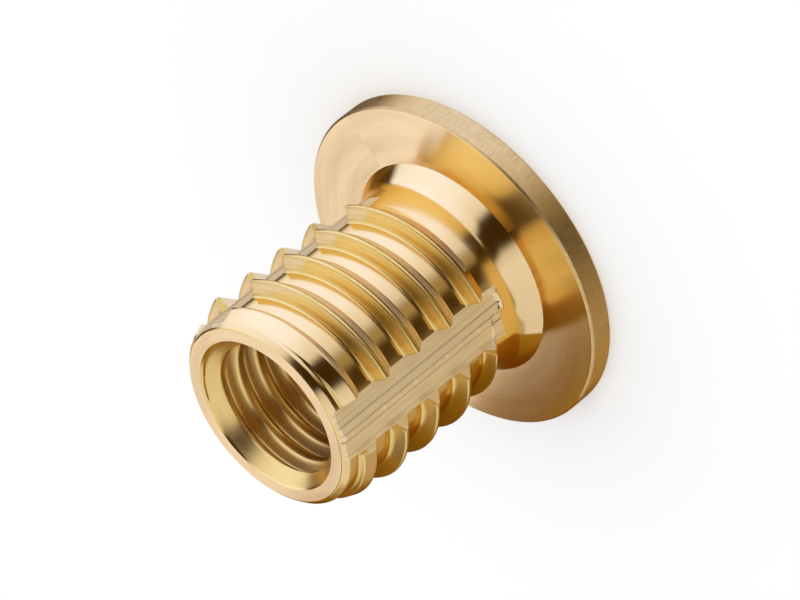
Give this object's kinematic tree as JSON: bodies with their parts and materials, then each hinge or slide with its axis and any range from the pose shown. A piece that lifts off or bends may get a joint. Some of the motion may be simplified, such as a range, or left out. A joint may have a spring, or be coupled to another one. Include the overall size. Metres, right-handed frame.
{
  "type": "threaded insert",
  "caption": "Flanged brass threaded insert: a through bore, a coarse outer screw thread with cutting flutes, a plain neck and a tapered lead-in.",
  "frame": {"origin": "centre of the flange's outer face, on the axis", "axes": "+Z along the axis from the flange to the open threaded end, +X through the middle of the first flute"},
  "size_m": [0.0175, 0.0174, 0.0143],
  "materials": {
    "insert": "bare turned brass, bright flanks and cones, satin rim and flute floors"
  },
  "bodies": {
    "root": {"insert": "insert"}
  },
  "joints": []
}
